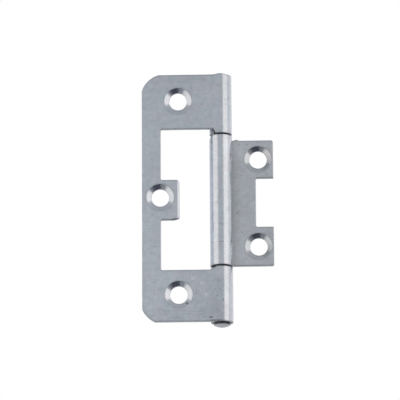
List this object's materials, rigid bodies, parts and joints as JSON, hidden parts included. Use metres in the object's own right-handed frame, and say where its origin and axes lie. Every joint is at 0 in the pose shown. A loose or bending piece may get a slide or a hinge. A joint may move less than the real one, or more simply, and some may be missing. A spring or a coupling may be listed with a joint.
{
  "type": "flush hinge",
  "caption": "Flush hinge of folded sheet steel: the smaller countersunk leaf swings on a headed pin and folds into the window of the larger leaf, closing to a single thickness.",
  "frame": {"origin": "midway between the two end screw holes of the outer leaf, on its back face", "axes": "+Z along the pin, away from its head; +Y out of the back face, towards the frame it is screwed to; +X from the outer leaf towards the pin"},
  "size_m": [0.0388, 0.0067, 0.0766],
  "materials": {
    "leaf_steel": "bright zinc plate over rolled sheet, satin",
    "pin_steel": "bright zinc plate, satin"
  },
  "bodies": {
    "fixed_leaf": {"outer_leaf": "leaf_steel", "hinge_pin": "pin_steel"},
    "swinging_leaf": {"inner_leaf": "leaf_steel"}
  },
  "joints": [
    {"name": "leaf_swing", "type": "hinge", "parent": "fixed_leaf", "child": "swinging_leaf", "pos_m": [0.01255, 0.00152, 0], "axis": [0, 0, -1], "continuous": true}
  ]
}
